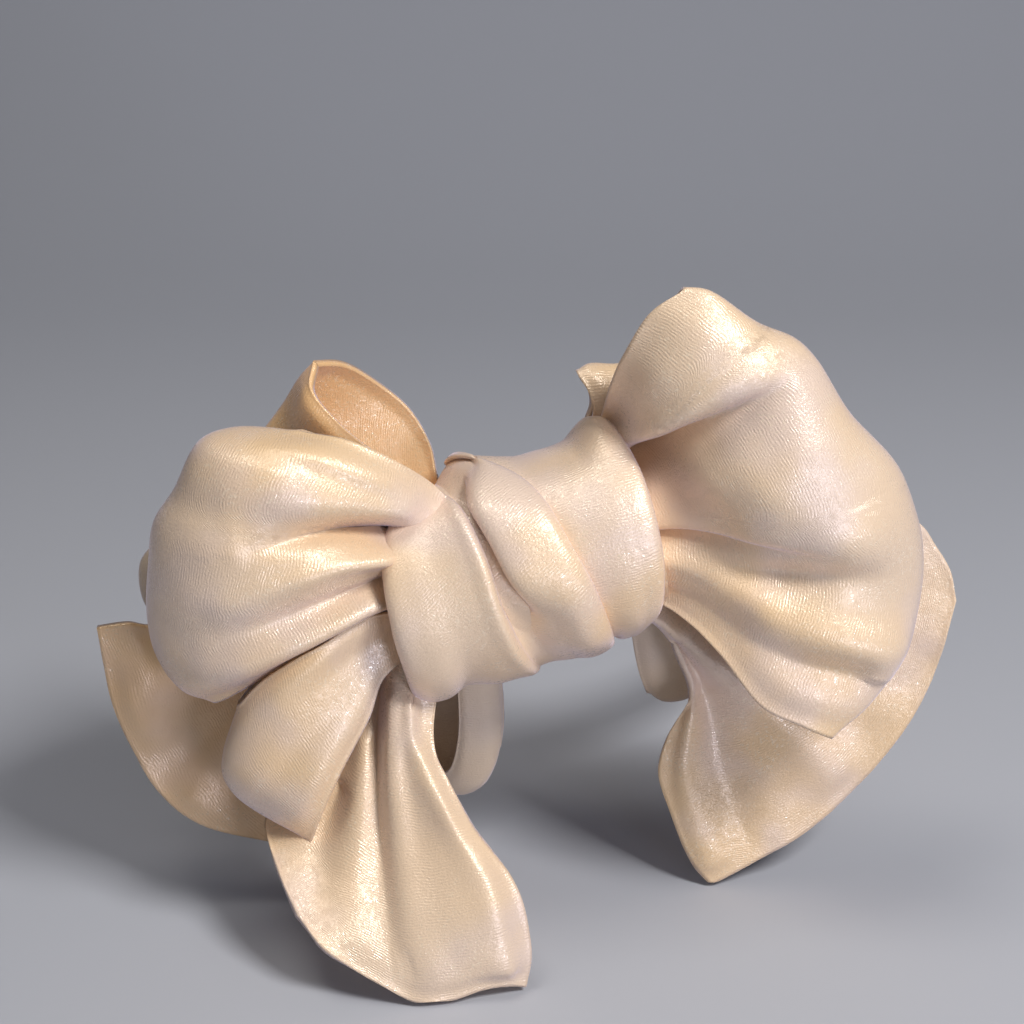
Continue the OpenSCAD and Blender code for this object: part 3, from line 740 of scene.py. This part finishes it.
lower_left, lower_left_flat = loop_of_ribbon(
    "rear_lower_left_loop_cloth",
    gather=[(-15, 5, -8), (-6, 6, -10)],
    back_gather=[(-19, 13, -8), (-8, 14, -8)],
    low_side=[(-13.2, 6, -20), (-12.6, 7, -32), (-12.6, 8, -45), (-14.6, 10, -54)],
    outer=[(-18, 12, -58), (-15.6, 12, -61.2), (-12, 12, -62), (-8, 12, -59.8), (-5.3, 12, -55),
           (-4, 12, -50)],
    top_side=[(-5.5, 8, -20), (-3.8, 11, -33), (-3.3, 12, -43)],
    back_low=[(-20.5, 15, -20), (-21.5, 17, -36), (-21, 16, -50)],
    back_side=[(-5.5, 14, -20), (-4.6, 16, -34), (-4.2, 15, -44)],
    puff=(1.5, 3.0, 0.5), back_puff=(1, 2.5, 0.5), seed=31.0, wave=0.3, cols=48, rows=91, thick=1.1)

SOFT = [(wrap_left, wrap_left_flat, ("knot_wrap_left", "knot_fold"), satin, "satin"),
        (wrap_right, wrap_right_flat, ("knot_wrap_right",), satin, "satin"),
        (front_left, front_left_flat, ("front_left_loop",), satin, "satin"),
        (front_right, front_right_flat, ("front_right_loop",), satin, "satin"),
        (small_left, small_left_flat, ("small_left_loop",), satin, "satin"),
        (left_tail, left_tail_flat, ("front_tail_left",), satin, "satin"),
        (right_tail, right_tail_flat, ("front_tail_right",), satin, "satin"),
        (side_tail, side_tail_flat, ("side_tail_left",), satin_painted_warm_shade, "satin"),
        (upper_left, upper_left_flat, ("rear_upper_left_loop",), satin_painted_warm_shade, "satin"),
        (upper_right, upper_right_flat, ("rear_upper_right_loop",), satin, "satin"),
        (rear_left, rear_left_flat, ("rear_left_loop",), satin_with_painted_shade, "satin_shaded"),
        (lower_right, lower_right_flat, ("rear_lower_right_loop",), satin_with_painted_shade, "satin_shaded"),
        (lower_left, lower_left_flat, ("rear_lower_left_loop",), satin_with_painted_shade, "satin_shaded")]
SWINGS = {"front_tail_left": "left_tail", "front_tail_right": "right_tail", "side_tail_left": "side_tail"}
for piece, flat, nodes, material, slot in SOFT:
    wear(piece, material)
    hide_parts(*nodes)
    if nodes[0] in SWINGS:
        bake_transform(piece)
    else:
        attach(piece, "bow")

# ---------------------------------------------------------------- frame pieces that keep their CAD shape
KEPT = {"crown_strip": steel, "left_leg_strip": steel, "right_leg_strip": steel, "knot_padding": wadding,
        "felt_pad": felt, "binding_thread": thread, "gathered_waist": hoop_satin, "keeper_strap": hoop_satin,
        "crown_sleeve": hoop_satin, "left_leg_sleeve": hoop_satin, "right_leg_sleeve": hoop_satin,
        "crown_lining": lining, "left_leg_lining": lining, "right_leg_lining": lining,
        "left_end_tab": hoop_satin, "right_end_tab": hoop_satin}
for node, material in KEPT.items():
    kept = bpy.data.objects[node]
    kept.data.materials.clear()
    kept.data.materials.append(material)

# ---------------------------------------------------------------- stage, light and camera
bpy.ops.object.select_all(action="DESELECT")
# The floor runs level under the bow and sweeps up behind it
bpy.ops.mesh.primitive_grid_add(x_subdivisions=2, y_subdivisions=60, size=1, location=(0, 0, 0))
floor = bpy.context.object
floor.name = "studio_floor"
SWEEP_FROM = 0.42
SWEEP_R = 0.5
FLOOR_WIDE = 8
FLOOR_LONG = 4.0
FLOOR_NEAR = 1.8
for corner in floor.data.vertices:
    run = (corner.co.y + 0.5) * FLOOR_LONG - FLOOR_NEAR
    turn = min(max((run - SWEEP_FROM) / SWEEP_R, 0), math.pi / 2)
    past = max(run - SWEEP_FROM - SWEEP_R * math.pi / 2, 0)
    corner.co = (corner.co.x * FLOOR_WIDE, min(run, SWEEP_FROM) + SWEEP_R * math.sin(turn),
                 SWEEP_R * (1 - math.cos(turn)) + past)
bpy.ops.object.shade_smooth()
floor_paint = Paint("studio_floor")
floor_paint.set(Base_Color=(0.45, 0.47, 0.53, 1), Roughness=0.85)
floor.data.materials.append(floor_paint.material)

LOOK_DOWN = math.radians(22)
CAMERA_FROM_KNOT = np.array([-1.0, -378.46, 163.51]) * MM
camera_data = bpy.data.cameras.new("camera")
camera_data.lens = 70
camera_data.sensor_width = 36
camera = bpy.data.objects.new("camera", camera_data)
camera.location = KNOT + CAMERA_FROM_KNOT
camera.rotation_euler = (math.pi / 2 - LOOK_DOWN, 0, 0)
bpy.context.collection.objects.link(camera)
bpy.context.scene.camera = camera


def soft_light(name, at, size, power, colour):
    """A big square of light that looks at the knot."""
    light = bpy.data.lights.new(name, "AREA")
    light.size = size
    light.energy = power
    light.color = colour
    lamp = bpy.data.objects.new(name, light)
    lamp.location = at
    lamp.rotation_euler = (Vector(KNOT) - Vector(at)).to_track_quat("-Z", "Y").to_euler()
    bpy.context.collection.objects.link(lamp)


soft_light("key_softbox", (0.46, -0.50, 0.80), 0.24, 7.8, (1.0, 0.97, 0.93))
soft_light("top_softbox", (-0.20, -0.14, 0.85), 0.30, 1.7, (1.0, 0.94, 0.84))
soft_light("low_fill", (0.52, -0.95, 0.06), 0.30, 4.4, (0.84, 0.85, 1.0))
world = bpy.data.worlds.new("room")
bpy.context.scene.world = world
world.use_nodes = True
world.node_tree.nodes["Background"].inputs["Color"].default_value = (0.80, 0.84, 0.95, 1)
world.node_tree.nodes["Background"].inputs["Strength"].default_value = 0.09
bpy.context.scene.view_settings.view_transform = "Standard"
